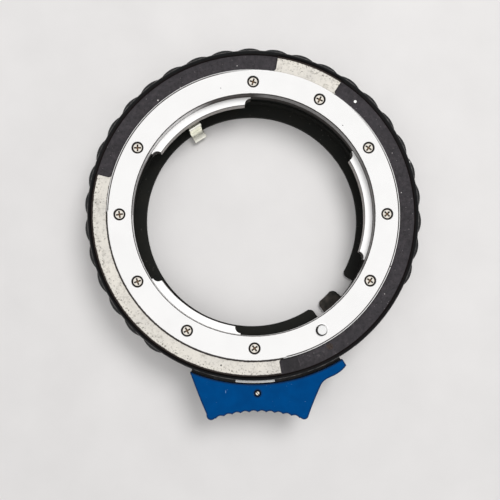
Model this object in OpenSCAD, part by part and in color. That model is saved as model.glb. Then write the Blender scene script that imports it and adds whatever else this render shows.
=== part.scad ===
// Bayonet lens mount adapter with an aperture ring and a sliding release lever.
// Millimetres. The origin is on the optical axis, in the plane of the camera flange.
// +Z points towards the lens, +X to the right and +Y up when the lens side is seen.

/* [Lens side mount ring] */
// Distance from the camera flange to the lens flange
flange_gap = 2.5; // [2.3:0.1:4]
// Radius of the recess that centres the lens
recess_r = 23.5; // [23.2:0.1:23.7]
// Width of the mount ring's face
mount_w = 5; // [4.8:0.1:5.5]
// Reach of the three inner lugs into the recess
lug_reach = 1.5; // [1.2:0.1:1.7]
// Depth of the lugs below the lens flange
lug_drop = 1.5; // [1.2:0.1:1.8]
// Thickness of the inner lugs
lug_t = 1.6; // [1.2:0.1:1.8]
// Wall of the skirt that carries the lugs
skirt_wall = 0.5; // [0.3:0.05:0.6]
// Depth of the relief in the skirt behind the lugs' front faces
relief = 0.25; // [0.24:0.01:0.3]
// Chamfer round the outer edge of the mount ring
face_chamfer = 0.25; // [0.1:0.05:0.4]
// Radius of the cutter that left the lug ends
lug_mill_r = 1.2; // [0.8:0.1:1.4]
// Shift of the screws inwards from the middle of the face
screw_shift = 0.1; // [0:0.05:0.2]
// Angle between neighbouring screws
screw_step = 30; // [30:30:60]

/* [Small screws] */
// Radius of a pan head
head_r = 1; // [0.8:0.05:1.1]
// Height of a pan head
head_h = 0.5; // [0.3:0.05:0.55]
// Bevel round the top of a pan head
head_bevel = 0.15; // [0.05:0.05:0.25]
// Depth of the head below the surface
head_sink = 0.1; // [0.05:0.05:0.15]
// Radius of a screw's shank
shank_r = 0.6; // [0.4:0.05:0.65]
// Radius of a countersunk head on the camera side
flat_head_r = 1.05; // [0.9:0.05:1.1]
// Gap round a head in its counterbore
head_gap = 0.15; // [0.05:0.05:0.2]

/* [Body ring] */
// Reach of the web between the mounts past the mount ring
web_w = 1.5; // [1.4:0.05:1.6]
// Reach of the front face past the web
face_w = 1.4; // [1.3:0.1:1.8]
// Depth of the black face below the lens flange
black_drop = 0.65; // [0.5:0.05:0.7]
// Depth of the bare lands below the lens flange
land_drop = 0.3; // [0.2:0.05:0.4]
// Radius in the inner corners of the milled black face
land_fillet = 0.5; // [0.3:0.1:0.8]
// Radius of the white index dot
dot_r = 0.3; // [0.2:0.05:0.4]
// Angle of the white index dot
dot_angle = 48; // [40:1:55]

/* [Aperture ring] */
// Wall of the ring's rim behind its scallops
rim_wall = 0.65; // [0.5:0.05:0.8]
// Height of a scallop over the rim
scallop_h = 0.5; // [0.3:0.05:0.55]
// Radius of the round back of a scallop
scallop_r = 4.5; // [3:0.5:6]
// Number of scallops
scallop_count = 28; // [20:1:28]
// Angle between two scallops
scallop_pitch = 9.4; // [9:0.1:9.4]
// Angle of the first scallop
scallop_start = -21.5; // [-22:0.5:-20]
// Depth of the rim's front edge below the lens flange
rim_drop = 0.1; // [0.05:0.05:0.3]
// Depth of the bevel inside the rim's front edge
rim_bevel = 0.95; // [0.7:0.05:1]
// Fall of a scallop's front from the rim to its crest
scallop_fall = 0.15; // [0.05:0.05:0.3]
// Width of the flat front edge of the rim
rim_lip = 0.12; // [0.05:0.01:0.2]
// Thickness of the flange, the finger and the slide
sheet_t = 0.4; // [0.3:0.05:0.45]
// Turn of the ring towards smaller apertures
ring_turn_minus = 20; // [10:1:20]
// Turn of the ring the other way
ring_turn_plus = 10; // [5:1:10]

/* [Aperture finger] */
// Angle of the finger at rest
finger_angle = 121.8; // [120:0.1:122]
// Width of the bent strip
finger_w = 2.7; // [2:0.1:3]
// Reach of the foot inwards from its leg
foot_len = 2.35; // [1.8:0.05:2.6]
// Step of the strip inwards behind the lugs
finger_step = 1.9; // [1.5:0.1:2.4]
// Depth of the first bend below the camera flange
finger_step_z = 2.5; // [2.3:0.1:2.7]
// Height of the foot over the rear end of the barrel
foot_lift = 1.3; // [1.2:0.1:1.6]
// Half the angle that the finger's fixing plate covers
finger_plate_half_angle = 5.5; // [5:0.1:6]
// Radius of the small countersunk finger screws
finger_screw_head_r = 0.7; // [0.5:0.05:0.75]

/* [Camera side bayonet] */
// Thickness of the camera flange plate
cam_plate_t = 0.6; // [0.55:0.05:0.8]
// Distance of the plate's edge inside the front face's edge
plate_inset = 0.2; // [0.1:0.1:0.4]
// Wall of the centring shoulder outside the lock pin's pocket
register_wall = 0.25; // [0.2:0.05:0.4]
// Depth of the shoulder
register_depth = 1.1; // [1.1:0.1:1.4]
// Wall of the barrel
barrel_wall = 0.6; // [0.4:0.05:0.7]
// Length of the barrel behind the camera flange
barrel_len = 5.8; // [5.7:0.1:6.5]
// Depth of the outer lugs below the camera flange
cam_lug_z = 2.4; // [2.2:0.1:2.6]
// Thickness of the outer lugs
cam_lug_t = 1.3; // [1:0.1:1.5]
// Half the width of the slot for the camera's lock pin
lock_slot_half = 0.9; // [0.6:0.1:1]
// Straight length of the slot for the camera's lock pin
lock_slot_len = 0.35; // [0.2:0.05:0.6]
// Angle of the slot for the camera's lock pin
lock_slot_angle = 8; // [5:1:12]

/* [Light baffle] */
// Reach of the rear lip inwards past the lens lugs
lip_reach = 0.2; // [0:0.1:0.5]
// Thickness of the rear lip
baffle_t = 0.6; // [0.4:0.05:0.6]
// Wall of the baffle
baffle_wall = 0.42; // [0.35:0.01:0.45]
// Gap between the baffle's wall and the step of the finger above it
baffle_gap = 0.3; // [0.2:0.05:1]
// Radius on the corners of the two notches
notch_corner_r = 1; // [0.5:0.1:1.1]

/* [Release lever] */
// Gap between the aperture ring and the lever
lever_gap = 0.75; // [0.6:0.05:0.9]
// Depth of the lever from its inner edge to its wings
lever_h = 6.75; // [6:0.25:8]
// Half the distance between the two wings
lever_half_w = 8.95; // [8:0.25:10]
// Offset of the lever's middle to the right
lever_mid = 0.55; // [0:0.05:1]
// Thickness of the lever
lever_t = 1.1; // [0.8:0.1:1.3]
// Number of grip scoops
grip_count = 10; // [6:1:12]
// Depth of a grip scoop
grip_depth = 0.3; // [0.1:0.05:0.4]
// Width of the lever's arm at its tip
arm_w = 1.35; // [1:0.05:1.6]
// Length of the white bar
bar_len = 7.7; // [5:0.1:9]
// Hollow of the grip edge between the wings
grip_sag = 1.2; // [0.6:0.1:1.6]
// Radius of the hole for the slotted screw
lever_hole_r = 0.66; // [0.6:0.02:0.8]
// Radius of the slotted screw's head
lever_screw_r = 0.45; // [0.35:0.05:0.5]
// Turn of the lever to release the lens
release_turn = 8; // [4:1:8]

/* [Release slide and lock pin] */
// Width of the slide's arc
slide_w = 3; // [2.9:0.05:3]
// Radius of the lock pin
pin_r = 0.95; // [0.8:0.05:1]
// Height of the lock pin over the lens flange
pin_proud = 0.95; // [0.8:0.05:1]
// Travel of the lock pin
pin_travel = 1; // [0.9:0.05:1]
// Radius of the stem below the pin
stem_r = 0.35; // [0.3:0.01:0.36]
// Radius of the collar at the pin's foot
collar_r = 0.7; // [0.65:0.01:0.72]
// Thickness of the collar
collar_t = 0.3; // [0.2:0.05:0.3]
// Radius of the stop screw
stop_screw_r = 0.65; // [0.5:0.05:0.7]
// Distance of the stop screw from the edge of the front face
stop_screw_inset = 1.9; // [1.7:0.1:2]
// Turns of the return spring
spring_turns = 9; // [5:1:10]
// Radius of the return spring's coil
coil_r = 0.4; // [0.3:0.02:0.42]
// Radius of the return spring's wire
wire_r = 0.08; // [0.05:0.01:0.09]

/* [Clearances] */
// Gap of a running fit
run_gap = 0.05; // [0.02:0.01:0.06]
// Gap between pieces that are screwed or pushed together
seat_gap = 0.03; // [0.01:0.01:0.05]
// Gap between the finger's leg and the walls beside it
leg_gap = 0.1; // [0.08:0.01:0.12]

/* [Hidden] */
$fn = 96;

// Length by which a cutter runs past the face that it cuts
overrun = 0.4;

// Heights, from the camera flange up to the lens flange
z_sheet = cam_plate_t + run_gap;
z_sheet_top = z_sheet + sheet_t;
z_channel = z_sheet_top + run_gap;
z_arm_top = z_sheet_top + sheet_t;
z_web_top = z_arm_top + run_gap;
z_black = flange_gap - black_drop;
z_land = flange_gap - land_drop;
z_lug_top = flange_gap - lug_drop;
z_lug_low = z_lug_top - lug_t;
z_rear = -barrel_len;
finger_foot_z = barrel_len - foot_lift;

// Radii, from the optical axis outwards
throat_r = recess_r - lug_reach;
baffle_r = throat_r - lip_reach;
mount_r = recess_r + mount_w;
web_r = mount_r + web_w;
face_r = web_r + face_w;
cam_plate_r = face_r - plate_inset;
skirt_r = recess_r + skirt_wall;
web_in_r = skirt_r + seat_gap;
leg_in_r = skirt_r + leg_gap;
leg_out_r = leg_in_r + sheet_t;
finger_leg_r = leg_in_r - finger_step;
finger_tip_r = finger_leg_r - foot_len;
barrel_in_r = leg_out_r + leg_gap;
barrel_r = barrel_in_r + barrel_wall;
lens_screw_r = recess_r + mount_w / 2 - screw_shift;
pocket_half = collar_r + 2 * run_gap;
register_r = lens_screw_r + pocket_half + register_wall;
cam_screw_r = (register_r + web_r) / 2;
ring_bore_r = face_r + run_gap;
ring_r = ring_bore_r + rim_wall;
flange_in_r = web_r + 3 * run_gap;
flange_w = ring_bore_r - flange_in_r;
lever_in_r = ring_r + lever_gap;
slide_out_r = face_r - 2 * run_gap;
slide_in_r = slide_out_r - slide_w;

// Places round the axis, in degrees
lens_screw_angles = [for (a = [0:screw_step:359]) if (a != 120 && a != 300) a];
cam_screw_angles = [35, 75, 165, 210, 243, 325];
lug_angles = [[91, 148.5], [-22, 33], [212, 263.5]];
land_angles = [[56.5, 81], [165.5, 279.5]];
cam_lug_angles = [[35, 87], [155, 207], [275, 327]];
notch_angles = [[304, 308.3], [319.5, 329.2]];
window_angles = [230, 340];
pin_angle = 300;
stop_angle = 299.7;
spring_angles = [254.5, 270.5];
slide_angles = [249, 308.3];
slide_pin_angles = [288.5, 308.3];
drag_angle = 200;
margin_angle = 1;

// Finger window in the web
tongue_half_angle = finger_plate_half_angle + margin_angle / 2;
finger_window_angles = [
    finger_angle - tongue_half_angle - ring_turn_minus - margin_angle / 2,
    finger_angle + tongue_half_angle + ring_turn_plus + margin_angle / 2
];
finger_plate_in_r = web_r - 1.2 * flange_w;
finger_plate_out_r = face_r - 0.4 * flange_w;
finger_screw_r = (finger_plate_in_r + finger_plate_out_r) / 2;

// Ramp rails of the slide and their pocket in the camera bayonet
ramp_len = lens_screw_r * release_turn * PI / 180;
collar_top = z_sheet - run_gap;
collar_low = collar_top - collar_t;
stem_slot_half = stem_r + 1.4 * run_gap;
rail_in = stem_slot_half + run_gap / 2;
pocket_floor = collar_low - pin_travel - 2 * run_gap;
pocket_end_gap = collar_r;
leaf_len = 4;
pocket_angles = [
    pin_angle - arc_angle(2 * collar_r + ramp_len + pocket_end_gap, lens_screw_r),
    pin_angle + arc_angle(leaf_len + pocket_end_gap, lens_screw_r)
];

// Return spring pocket
coil_path_r = web_r;
coil_half = coil_r + wire_r + run_gap;
coil_z = z_sheet + coil_r + wire_r;

function polar(r, a) = [r * cos(a), r * sin(a)];

function turned(p, a) = [p[0] * cos(a) - p[1] * sin(a), p[0] * sin(a) + p[1] * cos(a)];

// Angle in degrees that a length covers along a circle
function arc_angle(length, r) = length / r * 180 / PI;

function bezier(p, q, r, steps) =
    [for (i = [0:steps]) let (t = i / steps) (1 - t) * (1 - t) * p + 2 * t * (1 - t) * q + t * t * r];

function arc_points(centre, r, a0, a1, steps) =
    [for (i = [0:steps]) centre + polar(r, a0 + (a1 - a0) * i / steps)];

function reverse(points) = [for (i = [len(points) - 1:-1:0]) points[i]];

// Round corner between a radial edge at one angle and the circle that it starts from. It bends
// away from the edge on the side given by the sign, and ends with a short step onto the circle.
function corner_points(r, a, side, fillet) = let (
    arc = [for (phi = [270:-14:200]) [r + fillet * (1 + cos(phi)), side * fillet * (1 + sin(phi))]],
    last = arc[len(arc) - 1]
) [for (p = concat(arc, [[r - overrun, last[1]]])) turned(p, a)];

// Outline of a slot that follows a circle, with round ends
function slot_outline(r, half, a0, a1) = concat(
    arc_points([0, 0], r + half, a0, a1, 12),
    arc_points(polar(r, a1), half, a1, a1 + 180, 10),
    arc_points([0, 0], r - half, a1, a0, 12),
    arc_points(polar(r, a0), half, a0 + 180, a0 + 360, 10)
);

module at(r, a, z = 0) {
    translate([r * cos(a), r * sin(a), z]) rotate([0, 0, a]) children();
}

module sector(r0, r1, a0, a1, z0, z1) {
    rotate([0, 0, a0])
        rotate_extrude(angle = a1 - a0)
            translate([r0, z0]) square([r1 - r0, z1 - z0]);
}

module band(r0, r1, z0, z1) {
    rotate_extrude() translate([r0, z0]) square([r1 - r0, z1 - z0]);
}

module arc_slot(r, half, a0, a1, z0, z1) {
    translate([0, 0, z0]) linear_extrude(z1 - z0) polygon(slot_outline(r, half, a0, a1));
}

// A profile along the tangent at one angle, kept between two radii
module arc_prism(profile, a, r0, r1) {
    intersection() {
        rotate([0, 0, a])
            translate([r1 + overrun, 0, 0])
                rotate([90, 0, -90])
                    linear_extrude(r1 - r0 + 3 * overrun) polygon(profile);
        band(r0, r1, 2 * z_rear, -z_rear);
    }
}

// Cross recess of a small screw, cut down from its top face
module cross_recess(r, depth) {
    for (turn = [45, 135])
        rotate([0, 0, turn])
            translate([-0.68 * r, -0.16 * r, -depth])
                cube([1.36 * r, 0.32 * r, depth + overrun]);
}

// Pan head screw with its head on top at height zero
module pan_screw(r, h, shank, length) {
    difference() {
        union() {
            rotate_extrude()
                polygon([[0, -h], [r, -h], [r, -head_bevel], [r - head_bevel, 0], [0, 0]]);
            translate([0, 0, -length]) cylinder(r = shank, h = length - h / 2);
        }
        cross_recess(r, h / 2);
    }
}

// Countersunk screw with its flat head at height zero
module flat_screw(r, shank, length) {
    difference() {
        rotate_extrude()
            polygon([[0, 0], [r, 0], [shank, -(r - shank)], [shank, -length], [0, -length]]);
        cross_recess(r, (r - shank) / 2);
    }
}

module countersink(r, shank, length) {
    rotate_extrude()
        polygon([
            [0, overrun], [r + overrun, overrun], [shank, -(r - shank)],
            [shank, -length], [0, -length]
        ]);
}

module mount_ring() {
    color("silver")
    difference() {
        union() {
            rotate_extrude()
                polygon([
                    [recess_r + relief, z_lug_low],
                    [skirt_r, z_lug_low],
                    [skirt_r, z_web_top],
                    [mount_r, z_web_top],
                    [mount_r, flange_gap - face_chamfer],
                    [mount_r - face_chamfer, flange_gap],
                    [recess_r + face_chamfer / 2, flange_gap],
                    [recess_r, flange_gap - face_chamfer / 2],
                    [recess_r, z_lug_top],
                    [recess_r + relief, z_lug_top]
                ]);
            for (arc = lug_angles)
                sector(throat_r, (recess_r + relief + skirt_r) / 2, arc[0], arc[1], z_lug_low, z_lug_top);
        }
        for (arc = lug_angles)
            for (a = arc)
                at(throat_r, a, z_lug_low - overrun) cylinder(r = lug_mill_r, h = lug_t + 2 * overrun);
        for (a = lens_screw_angles) {
            at(lens_screw_r, a, flange_gap - head_sink - head_h)
                cylinder(r = head_r + head_gap, h = head_sink + head_h + overrun);
            at(lens_screw_r, a, z_web_top - overrun)
                cylinder(r = shank_r + run_gap, h = flange_gap);
        }
        at(lens_screw_r, pin_angle, z_web_top - overrun)
            cylinder(r = pin_r + head_gap, h = flange_gap);
    }
}

module mount_ring_screws() {
    color("tan")
    for (a = lens_screw_angles)
        at(lens_screw_r, a, flange_gap - head_sink)
            rotate([0, 0, 2.3 * a])
                pan_screw(head_r, head_h, shank_r, flange_gap - head_sink - cam_plate_t - run_gap);
}

// Raised land that the cutter left bare, with the cutter's radius in its inner corners
module land(a0, a1) {
    inner_r = mount_r + seat_gap;
    low = z_black - overrun / 2;
    outline = concat(
        arc_points([0, 0], face_r + overrun, a0, a1, 24),
        corner_points(inner_r, a1, 1, land_fillet),
        arc_points([0, 0], inner_r - overrun, a1, a0, 24),
        reverse(corner_points(inner_r, a0, -1, land_fillet))
    );
    intersection() {
        translate([0, 0, low]) linear_extrude(z_land - low) polygon(outline);
        band(inner_r, face_r, low - overrun, z_land + overrun);
    }
}

module body_ring() {
    color("#3a383b")
    difference() {
        union() {
            band(web_in_r, web_r, cam_plate_t, z_web_top);
            band(mount_r + seat_gap, face_r, z_channel, z_black);
            for (arc = land_angles)
                land(arc[0], arc[1]);
        }
        // Window in the web where the finger swings
        sector(
            web_in_r - overrun, finger_plate_out_r + 2 * run_gap, finger_window_angles[0],
            finger_window_angles[1], cam_plate_t - overrun, z_web_top
        );
        // Pocket of the release slide
        sector(
            slide_in_r - run_gap, face_r + overrun, slide_angles[0] - 2 * margin_angle,
            slide_angles[1] + release_turn + 2 * margin_angle, cam_plate_t - overrun, z_channel
        );
        sector(
            lens_screw_r - pin_r - 2 * run_gap, slide_in_r, slide_pin_angles[0] - margin_angle,
            slide_angles[1] + release_turn + 2 * margin_angle, cam_plate_t - overrun, z_channel
        );
        // Pocket of the return spring
        sector(
            coil_path_r - coil_half, coil_path_r + coil_half, spring_angles[0], spring_angles[1],
            cam_plate_t - overrun, coil_z + coil_half
        );
        // Pocket of the drag spring
        sector(
            drag_pocket_r, web_r + overrun, drag_angle - drag_half_angle - margin_angle,
            drag_angle + drag_half_angle + margin_angle, cam_plate_t - overrun, z_channel
        );
        // Relief over the pin that locks the adapter on the camera
        lock_slot(cam_plate_t - overrun, cam_plate_t + register_depth / 2);
        for (a = lens_screw_angles)
            at(lens_screw_r, a, cam_plate_t - overrun)
                cylinder(r = shank_r + seat_gap, h = flange_gap);
        for (a = cam_screw_angles)
            at(cam_screw_r, a, cam_plate_t - overrun)
                cylinder(r = shank_r + seat_gap, h = z_web_top - cam_plate_t + overrun - 2 * run_gap);
        at(lens_screw_r, pin_angle, cam_plate_t - overrun)
            cylinder(r = pin_r + run_gap, h = flange_gap);
        at(stop_r, stop_angle, z_black)
            countersink(stop_screw_r + seat_gap, stop_stem_r + seat_gap, flange_gap);
        at(dot_path_r, dot_angle, z_black - dot_r / 2)
            cylinder(r = dot_r + seat_gap, h = dot_r);
    }
}

// Slot that the camera's lock pin drops into
module lock_slot(z0, z1) {
    rotate([0, 0, lock_slot_angle])
        translate([0, 0, z0])
            linear_extrude(z1 - z0)
                polygon(concat(
                    arc_points([cam_screw_r - lock_slot_len / 2, 0], lock_slot_half, 90, 270, 12),
                    arc_points([cam_screw_r + lock_slot_len / 2, 0], lock_slot_half, -90, 90, 12)
                ));
}

dot_path_r = (mount_r + face_r) / 2;

module index_dot() {
    color("white")
    at(dot_path_r, dot_angle, z_black - dot_r / 2) cylinder(r = dot_r, h = dot_r / 2 + seat_gap);
}

rim_top = flange_gap - rim_drop;
bridge_z = z_channel + run_gap;

module aperture_ring() {
    color("#2c2b2d")
    difference() {
        union() {
            rotate_extrude()
                polygon([
                    [ring_bore_r, z_sheet],
                    [ring_r, z_sheet],
                    [ring_r, rim_top],
                    [ring_r - rim_lip, rim_top],
                    [ring_bore_r, rim_top - rim_bevel]
                ]);
            // Scallops with a bevelled front
            intersection() {
                for (i = [0:scallop_count - 1])
                    at(ring_r + scallop_h - scallop_r, scallop_start + i * scallop_pitch, z_sheet)
                        cylinder(r = scallop_r, h = rim_top - z_sheet);
                rotate_extrude()
                    polygon([
                        [ring_r - rim_lip / 2, z_sheet],
                        [ring_r + 2 * scallop_h, z_sheet],
                        [ring_r + 2 * scallop_h, rim_top - 2 * scallop_fall],
                        [ring_r - rim_lip / 2, rim_top - run_gap]
                    ]);
            }
            band(flange_in_r, ring_bore_r + rim_wall / 2, z_sheet, z_sheet_top);
            // Tongue that carries the finger
            sector(
                finger_plate_in_r, flange_in_r + flange_w / 2, finger_angle - tongue_half_angle,
                finger_angle + tongue_half_angle, z_sheet, z_sheet_top
            );
        }
        // Window under the rim that the release slide reaches through
        sector(
            flange_in_r - overrun, ring_r + overrun / 4, window_angles[0], window_angles[1],
            z_sheet - overrun, bridge_z
        );
        for (side = [-1, 1])
            at(finger_screw_r, finger_angle + side * finger_plate_half_angle / 2, z_sheet - overrun)
                cylinder(r = finger_screw_head_r / 2 + seat_gap, h = sheet_t + 2 * overrun);
    }
}

// Plan of the arm under the mount ring, with the plate that is screwed to the tongue
function finger_plate() = let (arm_half_angle = asin(finger_w / 2 / finger_plate_in_r)) concat(
    [[leg_in_r + sheet_t, finger_w / 2], [leg_in_r + sheet_t, -finger_w / 2]],
    arc_points([0, 0], finger_plate_in_r, -arm_half_angle, -finger_plate_half_angle, 4),
    arc_points([0, 0], finger_plate_out_r, -finger_plate_half_angle, finger_plate_half_angle, 12),
    arc_points([0, 0], finger_plate_in_r, finger_plate_half_angle, arm_half_angle, 4)
);

// Side view of the bent strip: radius to the right, height up
module finger_profile() {
    step_z = -finger_step_z;
    foot_z = -finger_foot_z;
    bend = sheet_t;
    // Long leg between the skirt and the barrel
    translate([leg_in_r, step_z]) square([sheet_t, z_arm_top - bend - step_z]);
    // Step inwards behind the lens lugs
    translate([finger_leg_r, step_z - sheet_t]) square([leg_in_r - finger_leg_r, sheet_t]);
    // Short leg and foot
    translate([finger_leg_r - sheet_t, foot_z]) square([sheet_t, step_z - sheet_t - foot_z]);
    translate([finger_tip_r, foot_z - sheet_t]) square([foot_len - 2 * sheet_t, sheet_t]);
    // Round bends
    bend_corner([leg_in_r + bend, z_arm_top - bend], [-1, 1]);
    bend_corner([leg_in_r, step_z], [1, -1]);
    bend_corner([finger_leg_r, step_z - sheet_t], [-1, 1]);
    bend_corner([finger_leg_r - sheet_t, foot_z], [1, -1]);
    translate([finger_leg_r - 2 * sheet_t, foot_z - sheet_t]) square([sheet_t, sheet_t]);
}

// Quarter disc of one sheet thickness round an inside corner
module bend_corner(centre, side) {
    intersection() {
        translate(centre) circle(r = sheet_t);
        translate([
            centre[0] + (side[0] < 0 ? -sheet_t : 0), centre[1] + (side[1] < 0 ? -sheet_t : 0)
        ])
            square(sheet_t);
    }
}

module aperture_finger() {
    color("#dcdccf")
    difference() {
        union() {
            rotate([0, 0, finger_angle])
                translate([0, finger_w / 2, 0])
                    rotate([90, 0, 0])
                        linear_extrude(finger_w) finger_profile();
            rotate([0, 0, finger_angle])
                translate([0, 0, z_sheet_top])
                    linear_extrude(sheet_t) polygon(finger_plate());
        }
        for (side = [-1, 1])
            at(finger_screw_r, finger_angle + side * finger_plate_half_angle / 2, z_arm_top)
                countersink(
                    finger_screw_head_r + seat_gap, finger_screw_head_r / 2 + seat_gap, flange_gap
                );
    }
}

module finger_screws() {
    color("dimgray")
    for (side = [-1, 1])
        at(finger_screw_r, finger_angle + side * finger_plate_half_angle / 2, z_arm_top)
            flat_screw(finger_screw_head_r, finger_screw_head_r / 2, z_arm_top - z_sheet);
}

drag_half_angle = 8;
drag_t = 0.12;
drag_bow = 0.45;
drag_pocket_r = flange_in_r - run_gap - drag_bow - 2 * drag_t;
drag_span = flange_in_r * sin(drag_half_angle);
drag_spring_r = 1 / (2 * drag_bow / (drag_span * drag_span) + 1 / flange_in_r);

// Bowed strip that rubs on the inner edge of the ring's flange
module drag_spring() {
    color("gray")
    rotate([0, 0, drag_angle])
        translate([flange_in_r - seat_gap - drag_spring_r, 0, z_sheet])
            linear_extrude(sheet_t)
                intersection() {
                    difference() {
                        circle(r = drag_spring_r);
                        circle(r = drag_spring_r - drag_t);
                    }
                    translate([0, -drag_span]) square([drag_spring_r, 2 * drag_span]);
                }
}

module camera_bayonet() {
    color("lightgray")
    difference() {
        union() {
            rotate_extrude()
                polygon([
                    [barrel_in_r, z_rear],
                    [barrel_r, z_rear],
                    [barrel_r, -register_depth],
                    [register_r, -register_depth],
                    [register_r, 0],
                    [cam_plate_r, 0],
                    [cam_plate_r, cam_plate_t],
                    [barrel_in_r, cam_plate_t]
                ]);
            for (arc = cam_lug_angles)
                sector(
                    barrel_r - barrel_wall / 2, register_r, arc[0], arc[1],
                    -cam_lug_z - cam_lug_t, -cam_lug_z
                );
        }
        // Pocket where the rails press the lock pin down
        sector(
            lens_screw_r - pocket_half, lens_screw_r + pocket_half, pocket_angles[0], pocket_angles[1],
            pocket_floor, cam_plate_t + overrun
        );
        lock_slot(-overrun, cam_plate_t + overrun);
        for (a = cam_screw_angles)
            at(cam_screw_r, a, 0)
                mirror([0, 0, 1])
                    countersink(flat_head_r + seat_gap, shank_r + run_gap, flange_gap);
    }
}

module camera_bayonet_screws() {
    color("silver")
    for (a = cam_screw_angles)
        at(cam_screw_r, a, 0)
            mirror([0, 0, 1])
                flat_screw(flat_head_r, shank_r, z_web_top - 3 * run_gap);
}

baffle_out_r = barrel_in_r - seat_gap;
baffle_rear = z_rear + 2 * run_gap;
baffle_top = -finger_step_z - sheet_t - baffle_gap;

module light_baffle() {
    color("#26221f")
    difference() {
        rotate_extrude()
            polygon([
                [baffle_r, baffle_rear],
                [baffle_out_r, baffle_rear],
                [baffle_out_r, baffle_top],
                [baffle_out_r - baffle_wall, baffle_top],
                [baffle_out_r - baffle_wall, baffle_rear + baffle_t],
                [baffle_r, baffle_rear + baffle_t]
            ]);
        for (arc = notch_angles)
            notch(arc[0], arc[1]);
    }
}

// Cut through the rear lip that rounds the lip's corners on both sides
module notch(a0, a1) {
    floor_r = baffle_out_r - baffle_wall / 2;
    low = baffle_rear - overrun;
    outline = concat(
        reverse(corner_points(baffle_r, a0, -1, notch_corner_r)),
        arc_points([0, 0], floor_r + overrun, a0, a1, 8),
        corner_points(baffle_r, a1, 1, notch_corner_r)
    );
    intersection() {
        translate([0, 0, low]) linear_extrude(baffle_t + 2 * overrun) polygon(outline);
        band(baffle_r - 2 * overrun, floor_r, low, baffle_rear + baffle_t + overrun);
    }
}

// Lever outline: shares of the half width to the right, shares of the depth outwards
left_edge_shares = [[-1.28, 0.28], [-1.1, 0.82]];
right_edge_shares = [[1.12, 0.8], [1.22, 0.45], [1.34, 0.1]];
arm_fillet_shares = [[1.4, -0.12], [1.58, -0.2]];
arm_edge_share = [1.82, -0.33];
wing_r = 0.13 * lever_h;
lever_left_angle = 270 - asin(1.387 * lever_half_w / lever_in_r);
lever_tip_angle = 270 + asin(1.9 * lever_half_w / lever_in_r);
wing_y = lever_in_r + lever_h - wing_r;
grip_half = lever_half_w - wing_r;
grip_r = (grip_half * grip_half + grip_sag * grip_sag) / (2 * grip_sag);

function lever_point(share) = [lever_mid + share[0] * lever_half_w, -(lever_in_r + share[1] * lever_h)];

// Curve from a point that is there already, through one share towards another
function lever_curve(from, through, to, steps) =
    let (points = bezier(from, lever_point(through), to, steps)) [for (i = [1:steps]) points[i]];

// Hollow grip edge with its scoops, from the left wing to the right one
function grip_edge() = let (
    half_angle = asin(grip_half / grip_r),
    centre = [lever_mid, -(wing_y + grip_r - grip_sag + wing_r / 2)],
    fine = 8
) [for (i = [0:grip_count * fine])
    let (a = 90 + half_angle * (1 - 2 * i / (grip_count * fine)))
    centre + polar(grip_r + grip_depth * (abs(sin(180 * i / fine)) - 0.5), a)];

function lever_outline() = concat(
    arc_points([0, 0], lever_in_r, lever_tip_angle, lever_left_angle, 36),
    lever_curve(
        polar(lever_in_r, lever_left_angle), left_edge_shares[0], lever_point(left_edge_shares[1]), 8
    ),
    arc_points([lever_mid - lever_half_w, -wing_y], wing_r, 190, 320, 8),
    grip_edge(),
    arc_points([lever_mid + lever_half_w, -wing_y], wing_r, 220, 350, 8),
    [lever_point(right_edge_shares[0])],
    lever_curve(
        lever_point(right_edge_shares[0]), right_edge_shares[1], lever_point(right_edge_shares[2]), 6
    ),
    lever_curve(
        lever_point(right_edge_shares[2]), arm_fillet_shares[0], lever_point(arm_fillet_shares[1]), 8
    ),
    lever_curve(
        lever_point(arm_fillet_shares[1]), arm_edge_share, polar(lever_in_r + arm_w, lever_tip_angle), 6
    )
);

lever_screw_pos = [lever_mid, -(lever_in_r + lever_h / 4)];

module release_lever() {
    color("#00488a")
    difference() {
        translate([0, 0, z_sheet_top])
            linear_extrude(lever_t) polygon(lever_outline());
        translate([lever_screw_pos[0], lever_screw_pos[1], z_sheet_top + lever_t / 2])
            cylinder(r = lever_hole_r, h = lever_t);
        translate([lever_screw_pos[0], lever_screw_pos[1], z_sheet_top - overrun])
            cylinder(r = lever_screw_r * 2 / 3 + seat_gap, h = lever_t + overrun);
        for (side = [-1, 1])
            at(lever_pin_path_r, 270 + side * lever_pin_angle, z_sheet_top - overrun)
                cylinder(r = lever_pin_r + seat_gap, h = lever_t / 2 + seat_gap + overrun);
    }
}

module lever_screw() {
    color("silver")
    translate([lever_screw_pos[0], lever_screw_pos[1], 0])
        difference() {
            union() {
                translate([0, 0, z_sheet_top + lever_t / 2])
                    cylinder(r = lever_screw_r, h = lever_t / 2 - head_sink / 2);
                translate([0, 0, z_sheet])
                    cylinder(r = lever_screw_r * 2 / 3, h = lever_t / 2 + sheet_t + seat_gap);
            }
            rotate([0, 0, -50])
                translate([-lever_screw_r * 2, -lever_screw_r / 6, z_sheet_top + lever_t - 3 * head_sink])
                    cube([lever_screw_r * 4, lever_screw_r / 3, lever_t]);
        }
}

lever_pin_r = 0.45;
lever_pin_angle = 9;
lever_pin_path_r = lever_in_r + lever_h / 4;

module lever_pins() {
    color("silver")
    for (side = [-1, 1])
        at(lever_pin_path_r, 270 + side * lever_pin_angle, z_sheet)
            cylinder(r = lever_pin_r, h = sheet_t + lever_t / 2);
}

neck_out_r = lever_in_r + lever_h / 2;
neck_angles = [
    270 + asin((lever_mid - 0.95 * lever_half_w) / lever_in_r),
    270 + asin((lever_mid + 0.98 * lever_half_w) / lever_in_r)
];
stop_r = face_r - stop_screw_inset;
stop_stem_r = stop_screw_r * 2 / 3;

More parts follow.
